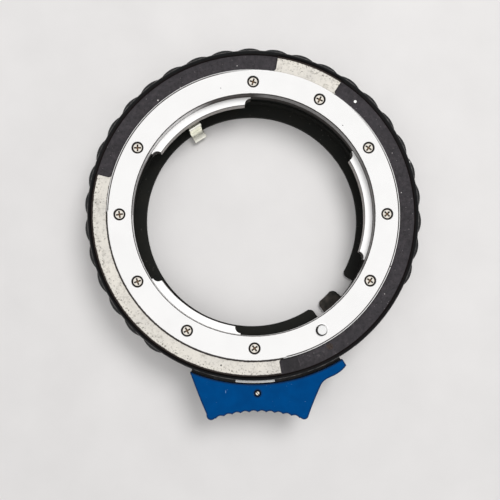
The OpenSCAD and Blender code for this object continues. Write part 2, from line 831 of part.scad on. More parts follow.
// Tangential profile of the rails: they descend away from the pin
rail_profile = [
    [collar_r + run_gap, z_sheet_top - sheet_t / 2],
    [collar_r + run_gap, z_sheet],
    [collar_r + run_gap + ramp_len, z_sheet - pin_travel],
    [2 * collar_r + ramp_len, z_sheet - pin_travel],
    [2 * collar_r + ramp_len, z_sheet_top - sheet_t / 2]
];

module release_slide() {
    color("#1f1f21")
    difference() {
        union() {
            sector(slide_in_r, slide_out_r, slide_angles[0], slide_angles[1], z_sheet, z_sheet_top);
            sector(slide_out_r - sheet_t, neck_out_r, neck_angles[0], neck_angles[1], z_sheet, z_sheet_top);
            sector(
                lens_screw_r - pin_r, slide_in_r + sheet_t, slide_pin_angles[0], slide_pin_angles[1],
                z_sheet, z_sheet_top
            );
            arc_prism(rail_profile, pin_angle, lens_screw_r - collar_r, lens_screw_r - rail_in);
            arc_prism(rail_profile, pin_angle, lens_screw_r + rail_in, lens_screw_r + collar_r);
        }
        arc_slot(
            lens_screw_r, stem_slot_half, pin_angle - release_turn, pin_angle,
            z_sheet - pin_travel - overrun, z_sheet_top + overrun
        );
        arc_slot(
            stop_r, stop_stem_r + run_gap, stop_angle - release_turn, stop_angle,
            z_sheet - overrun, z_sheet_top + overrun
        );
        sector(
            coil_path_r - coil_half, coil_path_r + coil_half, spring_angles[0], spring_angles[1],
            z_sheet - overrun, z_sheet_top + overrun
        );
        translate([lever_screw_pos[0], lever_screw_pos[1], z_sheet - overrun])
            cylinder(r = lever_screw_r * 2 / 3 + seat_gap, h = sheet_t + 2 * overrun);
        for (side = [-1, 1])
            at(lever_pin_path_r, 270 + side * lever_pin_angle, z_sheet - overrun)
                cylinder(r = lever_pin_r + seat_gap, h = sheet_t + 2 * overrun);
    }
}

bar_angle = 270.25;
bar_half_angle = arc_angle(bar_len / 2, lever_in_r);

// White bar that shows in the gap between the ring and the lever
module lever_index_bar() {
    color("white")
    sector(
        ring_r + 2 * run_gap, lever_in_r - 4 * run_gap, bar_angle - bar_half_angle,
        bar_angle + bar_half_angle, z_sheet_top, z_sheet_top + sheet_t
    );
}

module lock_pin() {
    top = flange_gap + pin_proud;
    shoulder = z_channel + pin_travel;
    color("silver")
    at(lens_screw_r, pin_angle)
        rotate_extrude()
            polygon([
                [0, collar_low],
                [collar_r, collar_low],
                [collar_r, collar_top],
                [stem_r, collar_top],
                [stem_r, shoulder],
                [pin_r, shoulder],
                [pin_r, top - pin_r / 6],
                [pin_r * 5 / 6, top],
                [0, top]
            ]);
}

leaf_t = 0.1;

// Leaf spring under the pin's collar, with its foot on the pocket's floor
module lock_pin_spring() {
    leaf_half = stem_slot_half - run_gap;
    color("gray")
    arc_prism(
        [
            [-leaf_len, pocket_floor],
            [-leaf_len * 0.7, pocket_floor],
            [-collar_r, collar_low - leaf_t],
            [collar_r / 2, collar_low - leaf_t],
            [collar_r / 2, collar_low],
            [-collar_r, collar_low],
            [-leaf_len * 0.7, pocket_floor + leaf_t],
            [-leaf_len, pocket_floor + leaf_t]
        ],
        pin_angle, lens_screw_r - leaf_half, lens_screw_r + leaf_half
    );
}

module slide_stop_screw() {
    color("#6a5648")
    at(stop_r, stop_angle, z_black)
        flat_screw(stop_screw_r, stop_stem_r, z_black - z_sheet);
}

// Bent coil spring: rings of points swept along a helix that follows the pocket
module return_spring() {
    sides = 6;
    steps = 12;
    rings = spring_turns * steps;
    margin = (wire_r + run_gap) / coil_path_r * 180 / PI;
    first = spring_angles[0] + margin;
    last = spring_angles[1] - margin;
    points = [
        for (i = [0:rings]) let (turn = 360 * i / steps, a = first + (last - first) * i / rings)
            for (k = [0:sides - 1]) let (
                around = 360 * k / sides,
                reach = coil_r + wire_r * cos(around),
                r = coil_path_r + reach * cos(turn),
                shift = wire_r * sin(around) / coil_path_r * 180 / PI
            )
                [r * cos(a + shift), r * sin(a + shift), coil_z + reach * sin(turn)]
    ];
    side_faces = [
        for (i = [0:rings - 1])
            for (k = [0:sides - 1]) let (next = (k + 1) % sides)
                [i * sides + k, i * sides + next, (i + 1) * sides + next, (i + 1) * sides + k]
    ];
    ends = [
        [for (k = [sides - 1:-1:0]) k],
        [for (k = [0:sides - 1]) rings * sides + k]
    ];
    color("gray")
    polyhedron(points, concat(side_faces, ends));
}

mount_ring();
mount_ring_screws();
body_ring();
index_dot();
aperture_ring();
aperture_finger();
finger_screws();
drag_spring();
camera_bayonet();
camera_bayonet_screws();
light_baffle();
release_lever();
release_slide();
lever_screw();
lever_pins();
lever_index_bar();
lock_pin();
lock_pin_spring();
slide_stop_screw();
return_spring();
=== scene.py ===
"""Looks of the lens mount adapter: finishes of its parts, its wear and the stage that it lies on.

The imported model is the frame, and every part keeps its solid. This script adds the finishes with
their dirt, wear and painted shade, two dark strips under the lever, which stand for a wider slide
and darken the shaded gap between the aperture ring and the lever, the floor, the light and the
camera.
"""

import math

import bmesh
import bpy
from mathutils import Matrix, Vector


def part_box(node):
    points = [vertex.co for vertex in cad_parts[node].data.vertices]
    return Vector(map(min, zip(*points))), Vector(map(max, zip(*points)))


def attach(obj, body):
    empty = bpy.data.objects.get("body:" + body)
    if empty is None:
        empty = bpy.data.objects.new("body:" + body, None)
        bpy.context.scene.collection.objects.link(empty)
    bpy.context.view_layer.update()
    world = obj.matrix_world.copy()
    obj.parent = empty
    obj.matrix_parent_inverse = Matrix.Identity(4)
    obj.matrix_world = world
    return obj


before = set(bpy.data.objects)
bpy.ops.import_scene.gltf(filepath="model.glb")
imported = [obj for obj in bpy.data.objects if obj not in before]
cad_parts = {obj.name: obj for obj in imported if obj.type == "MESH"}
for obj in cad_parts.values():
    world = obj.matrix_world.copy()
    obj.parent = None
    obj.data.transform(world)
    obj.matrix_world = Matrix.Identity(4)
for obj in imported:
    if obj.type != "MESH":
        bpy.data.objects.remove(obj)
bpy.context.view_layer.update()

bl_info = {
    "name": "Lens mount adapter",
    "version": (1, 0, 0),
    "blender": (4, 5, 0),
    "location": "View3D > Sidebar > Adapter",
    "description": "Finishes, wear and stage of a lens mount adapter",
    "category": "Object",
}

MM = 0.001


def top_of(node):
    """Height of a part's front, in millimetres."""
    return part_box(node)[1].z / MM


def rear_of(node):
    """Height of a part's rear, in millimetres."""
    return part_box(node)[0].z / MM


def middle_of(node):
    """Place of a part's axis, in millimetres, at height zero."""
    return [sum(pair) / 2 / MM for pair in zip(*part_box(node))][:2] + [0.0]


# Heights, radii and places of the parts, in millimetres, as the frame has them
FLANGE_TOP = top_of("mount_ring")
LAND_TOP = top_of("body_ring")
RIM_TOP = top_of("aperture_ring")
LEVER_TOP = top_of("release_lever")
PIN_TOP = top_of("lock_pin")
REAR = rear_of("camera_bayonet")
MOUNT_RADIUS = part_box("mount_ring")[1].x / MM
BODY_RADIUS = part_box("body_ring")[1].x / MM
SCREW_HOLE = (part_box("lever_screw")[1].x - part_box("lever_screw")[0].x) / 2 / MM
INDEX_DOT = middle_of("index_dot")
LEVER_SCREW = middle_of("lever_screw")
LOCK_PIN = middle_of("lock_pin")

# Radii and heights that no box gives, in millimetres
SCREW_CIRCLE = 25.9
COUNTERBORE = 1.15
PIN_HOLE = 1.1
RECESS = 23.5
THROAT = 22.0
LUG_TOP = 1.0
LUG_REAR = -0.6
BARREL_BORE = 24.6
LIP = 32.1

# Angles, in degrees: from screw to screw, the places that hold the lock pin and the finger instead
# of a screw, and the two ends of the long bare land, which lies across 180 degrees
SCREW_STEP = 30
NO_SCREW = (-60.0, 120.0)
LONG_LAND = (-78.5, 178.5)

# Direction from the lock pin's axis to the side where its shadow is painted
PIN_SHADOW_SIDE = (-0.5, -0.87, 0.0)

# Section of the slide's apron, in radius and height from its inner lip round, and where its two
# ends run in degrees: on the slide's sides, under the lever and below the turning scallops. The
# aprons stand for a wider slide, and they are dark strips that darken the shaded gap between the
# aperture ring and the lever.
APRON_SECTION = (
    (32.18, 0.35), (32.23, 0.3), (33.3, 0.3), (33.35, 0.35), (33.35, 1.05), (32.95, 1.05),
    (32.95, 0.6), (32.23, 0.6), (32.18, 0.55),
)
APRON_SPANS = {"slide_apron_left": (248.0, 256.0), "slide_apron_right": (286.5, 301.0)}

# Stage, in metres: half of the floor's width, and the place and the width of the soft lamp
FLOOR_HALF = 0.6
LAMP_PLACE = (0.19, 0.23, 0.45)
LAMP_WIDTH = 0.3


def linear(hex_colour):
    """Linear colour, with full alpha, of an sRGB hex string."""
    shares = [int(hex_colour[i:i + 2], 16) / 255 for i in (1, 3, 5)]
    return [s / 12.92 if s <= 0.04045 else ((s + 0.055) / 1.055) ** 2.4 for s in shares] + [1.0]


def colour_prop(name, description, hex_colour):
    return bpy.props.FloatVectorProperty(
        name=name, description=description, subtype="COLOR", size=4, min=0.0, max=1.0,
        default=linear(hex_colour),
    )


def length_prop(name, description, millimetres):
    return bpy.props.FloatProperty(
        name=name, description=description, subtype="DISTANCE", unit="LENGTH", min=0.0,
        default=millimetres * MM, precision=5,
    )


class AdapterColours(bpy.types.PropertyGroup):
    """Colours of the adapter's finishes."""

    chrome: colour_prop("Chrome", "Satin chrome on the two bayonets", "#FBFAF9")
    # This brown is dirt in some places and painted shade in corners, gaps and along dark edges in
    # others
    grime_and_shade: colour_prop("Grime", "Brown dirt in gaps and recesses", "#1E1510")
    screw: colour_prop("Screws", "Nickel plated screws", "#EFE9DE")
    bronze: colour_prop("Screw recess", "Bronze tone down in a screw's cross", "#8A6A48")
    black: colour_prop("Black anodising", "Black anodised body ring", "#272427")
    bare: colour_prop("Bare lands", "Bare lands of the body ring", "#E3DED4")
    ring: colour_prop("Aperture ring", "Black anodised aperture ring", "#191A1B")
    # This colour is a painted highlight on the lip of the aperture ring
    lip_highlight: colour_prop("Rubbed edges", "Metal that shows at rubbed edges", "#8E8987")
    baffle: colour_prop("Light baffle", "Matte black paint", "#1B1C1A")
    blue: colour_prop("Blue anodising", "Blue anodised release lever", "#004A89")
    strip: colour_prop("Bent strip", "Bright strip of the aperture finger", "#FBFAEE")
    white: colour_prop("White marks", "White filled marks", "#F8F8F5")
    steel: colour_prop("Steel", "Springs and pins", "#C9C8C6")
    brass: colour_prop("Tarnished brass", "Tarnished stop screw", "#3A312D")


class AdapterWear(bpy.types.PropertyGroup):
    """Sizes of the wear and the dirt."""

    screw_dirt: length_prop("Dirt round a screw", "Reach of the dirt past a counterbore", 0.05)
    chip: length_prop("Chips", "Size of a chip in the black anodising", 0.4)
    speck: length_prop("Specks", "Size of a dark speck on the bare lands", 0.3)
    grain: length_prop("Blasting grain", "Grain of the blasted surfaces", 0.22)
    edge: length_prop("Rounded edges", "Radius of the rounded edges", 0.09)


class AdapterStage(bpy.types.PropertyGroup):
    """Floor, light and camera."""

    floor: colour_prop("Floor", "Pale floor", "#DDDBDA")
    lens: bpy.props.FloatProperty(
        name="Focal length", description="Focal length of the camera in millimetres",
        default=38.217, min=10, max=200,
    )
    camera_place: bpy.props.FloatVectorProperty(
        name="Camera place", description="Place of the camera over the adapter",
        subtype="TRANSLATION", unit="LENGTH", default=(-0.0052286, -0.0192779, 0.1045157),
        precision=5,
    )
    camera_tilt: bpy.props.FloatVectorProperty(
        name="Camera tilt", description="Tilt of the camera from looking straight down",
        subtype="EULER", unit="ROTATION",
        default=(math.radians(-1.5137), math.radians(0.8504), math.radians(0.238)),
    )
    shift: bpy.props.FloatVectorProperty(
        name="Shift", description="Shift of the picture, in picture widths", size=2,
        default=(0.03, 0.1),
    )
    sky: bpy.props.FloatProperty(
        name="Sky", description="Strength of the soft light from above", default=1.1, min=0,
    )
    lamp: bpy.props.FloatProperty(
        name="Lamp", description="Power of the soft lamp", default=1.5, min=0, unit="POWER",
    )


def add(tree, kind, *feeds, named=None, out=0, **settings):
    """Adds a node, sets it up, feeds its sockets in order or by name, and returns an output."""
    made = tree.nodes.new("ShaderNode" + kind)
    for name, value in settings.items():
        setattr(made, name, value)
    for socket, value in [*enumerate(feeds), *(named or {}).items()]:
        if isinstance(value, bpy.types.NodeSocket):
            tree.links.new(value, made.inputs[socket])
        elif value is not None:
            made.inputs[socket].default_value = value
    return made.outputs[out] if made.outputs else made


class Finish:
    """A material that is built up in coats over its base.

    Patterns are laid out by the place on the part, in millimetres and degrees.
    """

    def __init__(self, name, colour, metallic, roughness):
        self.material = bpy.data.materials.new(name)
        self.material.use_nodes = True
        self.tree = self.material.node_tree
        self.tree.nodes.clear()
        self.colour, self.metallic, self.roughness = colour, metallic, roughness
        here = add(self.tree, "TexCoord", out="Object")
        self.here = add(self.tree, "VectorMath", here, [1 / MM] * 3, operation="MULTIPLY")
        self.x = add(self.tree, "SeparateXYZ", self.here)
        self.y, self.z = self.x.node.outputs[1:]
        self.flat = add(self.tree, "CombineXYZ", self.x, self.y)
        self.radius = add(self.tree, "VectorMath", self.flat, out="Value", operation="LENGTH")
        turn = add(self.tree, "Math", self.y, self.x, operation="ARCTAN2")
        self.angle = add(self.tree, "Math", turn, 180 / math.pi, operation="MULTIPLY")

    def profile(self, value, *corners):
        """Share that runs straight from corner to corner, each a value and its share."""
        low, high = corners[0][0], corners[-1][0]
        if len(corners) == 2:
            return add(self.tree, "MapRange", value, low, high, corners[0][1], corners[1][1])
        along = add(self.tree, "MapRange", value, low, high)
        ramp = add(self.tree, "ValToRGB", along)
        stops = ramp.node.color_ramp.elements
        for spot, _ in corners[1:-1]:
            stops.new((spot - low) / (high - low))
        for stop, (spot, level) in zip(stops, corners):
            stop.position = (spot - low) / (high - low)
            stop.color = (level, level, level, 1.0)
        return ramp

    def patches(self, size, low, high, detail=3.0, roughness=0.55):
        """Patches of about that size, where a cloud rises from the low to the high level."""
        cloud = add(
            self.tree, "TexNoise",
            named={
                "Vector": self.here, "Scale": 1 / size, "Detail": detail, "Roughness": roughness,
            },
        )
        return add(self.tree, "MapRange", cloud, low, high)

    def ragged(self, value, size, reach):
        """The value, made uneven by that reach each way in steps of about that size."""
        uneven = self.patches(size, 0.25, 0.75, detail=4.0, roughness=0.7)
        return add(self.tree, "Math", uneven, 2 * reach, value, operation="MULTIPLY_ADD")

    def away(self, place):
        """Distance from the axis at that place."""
        return add(
            self.tree, "VectorMath", self.flat, place, out="Value", operation="DISTANCE",
        )

    def from_screw(self):
        """Distance from the axis of the nearest screw on the screw circle."""
        half = SCREW_STEP / 2
        turned = add(self.tree, "Math", self.angle, half, -half, operation="WRAP")
        across = add(
            self.tree, "Math", turned, math.radians(SCREW_CIRCLE), operation="MULTIPLY",
        )
        along = add(self.tree, "Math", self.radius, SCREW_CIRCLE, operation="SUBTRACT")
        offset = add(self.tree, "CombineXYZ", across, along)
        return add(self.tree, "VectorMath", offset, out="Value", operation="LENGTH")

    def past_pin(self):
        """How far a point lies from the lock pin's axis towards the side of its painted shadow."""
        offset = add(self.tree, "VectorMath", self.flat, LOCK_PIN, operation="SUBTRACT")
        return add(
            self.tree, "VectorMath", offset, PIN_SHADOW_SIDE, out="Value",
            operation="DOT_PRODUCT",
        )

    def marks(self, *places):
        """Small ragged marks, each at its x and y and of its own radius."""
        nearest = 1000.0
        for x, y, size in places:
            share = add(self.tree, "Math", self.away((x, y, 0.0)), size, operation="DIVIDE")
            nearest = add(self.tree, "Math", share, nearest, operation="MINIMUM")
        return self.profile(self.ragged(nearest, 0.3, 0.25), (1.0, 1.0), (1.25, 0.0))

    def edges(self, reach):
        """Share that is one along the sharp edges, to about that reach in millimetres."""
        rounded = add(self.tree, "Bevel", reach * MM, samples=8)
        facing = add(self.tree, "NewGeometry", out="Normal")
        alike = add(
            self.tree, "VectorMath", rounded, facing, out="Value", operation="DOT_PRODUCT",
        )
        return self.profile(alike, (0.93, 1.0), (0.995, 0.0))

    def coat(self, colour, metallic, roughness, *masks):
        """Lays a coat over the finish so far, where all of its masks are one."""
        share = masks[0]
        for mask in masks[1:]:
            share = add(self.tree, "Math", share, mask, operation="MULTIPLY")
        self.colour = add(
            self.tree, "Mix", named={0: share, 6: self.colour, 7: colour}, out=2,
            data_type="RGBA",
        )
        if metallic != self.metallic:
            self.metallic = add(self.tree, "Mix", share, None, self.metallic, metallic)
        if roughness != self.roughness:
            self.roughness = add(self.tree, "Mix", share, None, self.roughness, roughness)

    def dirt_and_shade(self, colour, *masks):
        """Lays a dull, dark coat that hides the metal: old dirt in some places, painted shade in
        others.
        """
        self.coat(colour, 0.0, 0.6, *masks)

    def close(self, height, strength, depth, edge, specular=0.5):
        """Rounds the edges, adds the shallow relief and returns the material."""
        round_edges = add(self.tree, "Bevel", edge, samples=4)
        relief = add(
            self.tree, "Bump",
            named={
                "Strength": strength, "Distance": depth * MM, "Height": height,
                "Normal": round_edges,
            },
        )
        surface = add(
            self.tree, "BsdfPrincipled",
            named={
                "Base Color": self.colour, "Metallic": self.metallic,
                "Roughness": self.roughness, "Specular IOR Level": specular, "Normal": relief,
            },
        )
        add(self.tree, "OutputMaterial", surface)
        return self.material


# Satin chrome on turned brass: an even, bright gleam with faint turned rings. Its sharp corners
# hold brown dirt and painted shade, which draw dark lines round the recess, the screws and the
# outer edge.
def satin_chrome_on_turned_brass(colours, wear, name, painted_bore):
    f = Finish(name, colours.chrome, 1.0, 0.21)
    f.coat(linear("#F7F6F5"), 1.0, 0.26, f.patches(6.0, 0.35, 0.75))
    if painted_bore:
        bore = f.profile(f.radius, (BARREL_BORE + 0.02, 1.0), (BARREL_BORE + 0.06, 0.0))
        f.coat(colours.baffle, 0.0, 0.6, bore)
        f.dirt_and_shade(colours.grime_and_shade, f.patches(0.8, 0.66, 0.74), 0.4)
    else:
        dirty_and_shaded_mount_ring(f, colours, wear)
    # Turned rings, drawn coarser than the real ones so that they show
    spacing = 0.25
    turned = add(f.tree, "Math", f.radius, 2 * math.pi / spacing, operation="MULTIPLY")
    rings = add(f.tree, "Math", turned, operation="SINE")
    grain = f.patches(wear.grain / MM, 0.0, 1.0)
    height = add(f.tree, "Math", rings, 0.3, grain, operation="MULTIPLY_ADD")
    return f.close(height, 0.1, 0.02, wear.edge)


def dirty_and_shaded_mount_ring(f, colours, wear):
    """Dull walls, and dirt and painted shade in the corners and gaps of the mount ring."""
    grime_and_shade, pale = colours.grime_and_shade, linear("#FBFAF9")
    # Inner walls of the lugs: painted grey as painted shade of the chrome, dotted, with a dark
    # line of painted shade along their front edges
    lug_wall = f.profile(
        f.z, (LUG_REAR + 0.03, 0.0), (LUG_REAR + 0.05, 1.0), (LUG_TOP - 0.05, 1.0),
        (LUG_TOP - 0.02, 0.0),
    )
    throat = f.profile(f.radius, (THROAT + 0.04, 1.0), (THROAT + 0.07, 0.0))
    f.coat(linear("#B7B2AE"), 0.5, 0.45, lug_wall, throat)
    dots = f.patches(0.12, 0.5, 0.62, 0.0)
    f.coat(linear("#6A6460"), 0.5, 0.45, lug_wall, throat, dots, 0.5)
    lug_edge = f.profile(
        f.z, (LUG_TOP - 0.42, 0.0), (LUG_TOP - 0.34, 1.0), (LUG_TOP + 0.1, 1.0),
        (LUG_TOP + 0.2, 0.0),
    )
    uneven_throat = f.ragged(f.radius, 0.5, 0.02)
    near_throat = f.profile(uneven_throat, (THROAT + 0.13, 1.0), (THROAT + 0.2, 0.0))
    f.dirt_and_shade(grime_and_shade, lug_edge, near_throat, 0.85)
    # Painted shade on the ends of the lugs, and in the corner between a lug and the recess wall
    ends = f.profile(
        f.radius, (THROAT + 0.07, 0.0), (THROAT + 0.1, 1.0), (RECESS + 0.6, 1.0),
        (RECESS + 0.62, 0.0),
    )
    f.dirt_and_shade(grime_and_shade, lug_wall, ends)
    uneven = f.ragged(f.radius, 0.35, 0.03)
    corner = f.profile(uneven, (RECESS - 0.07, 0.0), (RECESS - 0.02, 1.0))
    low = f.profile(f.z, (LUG_TOP + 0.1, 1.0), (LUG_TOP + 0.16, 0.0))
    f.dirt_and_shade(grime_and_shade, corner, low)
    # Recess wall and tops of the lugs: pale but dull, so that they don't mirror each other
    wall = f.profile(
        f.z, (LUG_TOP + 0.02, 0.0), (LUG_TOP + 0.05, 1.0), (FLANGE_TOP - 0.15, 1.0),
        (FLANGE_TOP - 0.1, 0.0),
    )
    at_wall = f.profile(
        f.radius, (RECESS - 0.03, 0.0), (RECESS - 0.01, 1.0), (RECESS + 0.1, 1.0),
        (RECESS + 0.14, 0.0),
    )
    f.coat(pale, 0.1, 0.5, wall, at_wall)
    lug_top = f.profile(
        f.z, (LUG_TOP - 0.03, 0.0), (LUG_TOP - 0.01, 1.0), (LUG_TOP + 0.01, 1.0),
        (LUG_TOP + 0.03, 0.0),
    )
    inside_wall = f.profile(f.radius, (RECESS - 0.1, 1.0), (RECESS - 0.05, 0.0))
    f.coat(pale, 0.1, 0.5, lug_top, inside_wall)
    # Painted shade: the wall over the two upper lugs is dark all the way up, and the chamfer has a
    # dark line all round
    dark_wall = f.profile(
        f.angle, (-30.0, 0.0), (-26.0, 0.8), (24.0, 0.9), (34.0, 0.6), (84.0, 0.7), (90.0, 1.0),
        (110.0, 1.0), (122.0, 0.1), (150.0, 0.1), (155.0, 0.5), (180.0, 0.5),
    )
    f.coat(linear("#2C211C"), 0.0, 0.5, wall, at_wall, dark_wall)
    chamfer_top = f.profile(f.z, (FLANGE_TOP - 0.25, 0.0), (FLANGE_TOP - 0.15, 1.0))
    chamfer = f.profile(
        uneven, (RECESS - 0.03, 0.0), (RECESS, 1.0), (RECESS + 0.14, 1.0), (RECESS + 0.18, 0.0),
    )
    f.dirt_and_shade(grime_and_shade, chamfer, chamfer_top)
    # Dark ring round each screw, dirt and painted shade of the counterbore gap together, but not
    # round the lock pin nor where the finger passes
    front = f.profile(f.z, (LUG_TOP + 0.3, 0.0), (LUG_TOP + 0.4, 1.0))
    reach = f.ragged(f.from_screw(), 0.4, 0.03)
    round_screw = f.profile(
        reach, (COUNTERBORE, 1.0), (COUNTERBORE + 2 * wear.screw_dirt / MM, 0.0),
    )
    screwed = f.profile(f.angle, *(
        (place + turn, share)
        for place in NO_SCREW
        for turn, share in ((-13.0, 1.0), (-12.0, 0.0), (12.0, 0.0), (13.0, 1.0))
    ))
    f.dirt_and_shade(grime_and_shade, round_screw, front, screwed)
    # Round the lock pin: a pale ring, and a painted shadow in the gap on one side of the pin
    from_pin = f.away(LOCK_PIN)
    pin_ring = f.profile(from_pin, (PIN_HOLE + 0.15, 1.0), (PIN_HOLE + 0.25, 0.0))
    f.coat(pale, 0.0, 0.5, pin_ring, front)
    pin_gap = f.profile(from_pin, (PIN_HOLE + 0.02, 1.0), (PIN_HOLE + 0.08, 0.0))
    shadow_side = f.profile(f.past_pin(), (-0.3, 0.0), (0.1, 1.0))
    f.dirt_and_shade(linear("#100C0A"), pin_gap, shadow_side, front)
    # Outer edge: a thick ragged dark line beside the long bare land, and beside the black two thin
    # dark lines of painted shade on either side of the chamfer
    land_end, land_start = LONG_LAND
    rough_edge = f.ragged(f.radius, 0.5, 0.05)
    thick = f.profile(rough_edge, (MOUNT_RADIUS - 0.32, 0.0), (MOUNT_RADIUS - 0.22, 1.0))
    by_land = f.profile(
        f.angle, (-180.0, 1.0), (land_end - 0.5, 1.0), (land_end + 0.5, 0.0),
        (land_start - 0.5, 0.0), (land_start + 0.5, 1.0),
    )
    f.dirt_and_shade(grime_and_shade, thick, by_land, front)
    by_black = f.profile(
        f.angle, (land_end + 0.5, 0.0), (land_end + 1.5, 1.0), (20.0, 1.0), (50.0, 0.0),
        (90.0, 0.0), (105.0, 1.0), (land_start - 0.5, 1.0), (land_start + 0.5, 0.0),
    )
    chamfer_line = f.profile(f.radius, (MOUNT_RADIUS - 0.26, 0.0), (MOUNT_RADIUS - 0.22, 1.0))
    f.coat(pale, 0.0, 0.5, chamfer_line, by_black, front)
    # Two thin dark lines of painted shade on either side of the chamfer
    thin = f.profile(
        f.radius, (MOUNT_RADIUS - 0.47, 0.0), (MOUNT_RADIUS - 0.45, 1.0),
        (MOUNT_RADIUS - 0.27, 1.0), (MOUNT_RADIUS - 0.25, 0.0), (MOUNT_RADIUS - 0.08, 0.0),
        (MOUNT_RADIUS - 0.05, 1.0),
    )
    f.dirt_and_shade(grime_and_shade, thin, by_black, front)
    spots = f.marks((26.45, -10.2, 0.15), (17.4, 17.3, 0.11), (-6.3, 24.6, 0.1))
    f.dirt_and_shade(grime_and_shade, spots, front)


# Nickel plated steel: bright and a little warm on top, bronze down in the cross and darker at its
# bottom, and a dark ring on the bevel of the head and down in its gap, which is old dirt and
# painted shade together. The side is 1 for heads that face the lens and -1 for those that face the
# camera, and heads without the dark ring have no rim.
def nickel_plated_screw_steel(colours, wear, name, top, side, centre, rim):
    f = Finish(name, colours.screw, 1.0, 0.26)
    f.coat(linear("#B9AE9E"), 1.0, 0.36, f.patches(0.35, 0.6, 0.75))
    below_top = add(f.tree, "Math", f.z, -side, top * side, operation="MULTIPLY_ADD")
    depth = f.ragged(below_top, 0.3, 0.01)
    cross = f.profile(depth, (0.04, 0.0), (0.08, 1.0))
    f.coat(colours.bronze, 0.3, 0.5, cross)
    # Darker deep in the cross: dirt and painted shade together
    f.dirt_and_shade(colours.grime_and_shade, f.profile(depth, (0.2, 0.0), (0.26, 1.0)), 0.5)
    if rim is None:
        f.dirt_and_shade(colours.grime_and_shade, cross, 0.1)
    else:
        reach = f.away(centre) if centre else f.from_screw()
        f.dirt_and_shade(colours.grime_and_shade, cross, f.profile(reach, (rim / 3, 0.1), (rim / 2, 1.0)))
        # Dark ring on the head's bevel and in its gap: dirt and painted shade together
        uneven = f.ragged(reach, 0.4, 0.02)
        f.dirt_and_shade(colours.grime_and_shade, f.profile(uneven, (rim, 0.0), (rim + 0.05, 1.0)))
    return f.close(f.patches(0.25, 0.0, 1.0), 0.15, 0.02, wear.edge / 2)


# Black anodised aluminium over a blasted face: charcoal with a faint sheen and a few chips down to
# the metal. The cutter left the lands bare: pale, dotted with dark specks and ragged at the rim.
def worn_black_anodised_aluminium(colours, wear):
    f = Finish("worn_black_anodised_aluminium", colours.black, 0.0, 0.48)
    f.coat(linear("#353236"), 0.0, 0.48, f.patches(4.0, 0.3, 0.75))
    f.coat(linear("#4A4448"), 0.0, 0.55, f.patches(0.7, 0.45, 0.7, 4.0, 0.7), 0.7)
    f.coat(linear("#0E0C0E"), 0.0, 0.6, f.patches(0.35, 0.48, 0.66), 0.6)
    bright, scraped = linear("#CFCBC8"), linear("#5A5557")
    f.coat(bright, 0.0, 0.48, f.patches(0.3, 0.755, 0.775, 1.0), 0.45)
    chips = f.marks(
        (-18.55, 22.45, 0.16), (-14.2, 25.0, 0.1), (-3.1, 29.3, 0.09), (28.9, 4.3, 0.1),
        (27.2, 12.1, 0.08), (25.4, -15.5, 0.09),
    )
    f.coat(bright, 0.0, 0.48, chips)
    # Black face past the end of the long land: a darker patch, with a scraped line and two spots
    darker_patch = f.profile(f.angle, (-80.0, 0.0), (-79.0, 1.0), (-73.5, 1.0), (-73.0, 0.0))
    f.coat(linear("#1A181A"), 0.0, 0.5, darker_patch, 0.6)
    line = f.profile(f.angle, (-73.3, 0.0), (-73.1, 1.0), (-72.9, 0.0))
    f.coat(scraped, 0.0, 0.5, line, f.patches(0.8, 0.4, 0.6), 0.6)
    spots = f.marks((12.4, -27.4, 0.45), (13.4, -26.6, 0.3))
    f.coat(scraped, 0.0, 0.5, spots, f.patches(0.3, 0.4, 0.6), 0.5)
    # A dark line on the body beside the mount ring: painted shade in the gap between the two
    gap = f.profile(f.radius, (MOUNT_RADIUS + 0.12, 1.0), (MOUNT_RADIUS + 0.2, 0.0))
    f.dirt_and_shade(linear("#0C0A0A"), gap)
    # Bare lands: cloudy, mottled and specked, and browner towards the outside
    land = f.profile(f.z, (LAND_TOP - 0.1, 0.0), (LAND_TOP - 0.04, 1.0))
    f.coat(colours.bare, 0.2, 0.48, land)
    f.coat(linear("#D2CEC7"), 0.2, 0.48, land, f.patches(4.0, 0.35, 0.7))
    f.coat(linear("#8F8A80"), 0.2, 0.48, land, f.patches(0.9, 0.5, 0.75, 4.0, 0.7), 0.65)
    f.dirt_and_shade(linear("#2B2420"), land, f.patches(wear.speck / MM, 0.66, 0.72, 2.0), 0.85)
    outer_half = f.profile(f.radius, (BODY_RADIUS - 1.6, 0.0), (BODY_RADIUS - 0.9, 1.0))
    f.dirt_and_shade(linear("#4A423A"), land, outer_half, f.patches(0.45, 0.56, 0.66, 3.0, 0.6), 0.7)
    f.dirt_and_shade(linear("#0E0C0C"), land, f.marks((-6.45, -29.1, 0.18)))
    # Chipped black along the outer edge of the lands, and a dark line along the inner one on its
    # lower side only
    ragged = f.ragged(f.radius, wear.chip / MM, 0.08)
    outer = f.profile(ragged, (BODY_RADIUS - 0.32, 0.0), (BODY_RADIUS - 0.22, 1.0))
    f.dirt_and_shade(colours.grime_and_shade, land, outer)
    inner = f.profile(ragged, (MOUNT_RADIUS + 0.12, 1.0), (MOUNT_RADIUS + 0.2, 0.0))
    f.dirt_and_shade(colours.grime_and_shade, land, inner, f.profile(f.y, (5.5, 1.0), (7.0, 0.0)))
    return f.close(
        f.patches(wear.grain / MM, 0.0, 1.0), 0.25, 0.03, wear.edge, specular=0.3,
    )


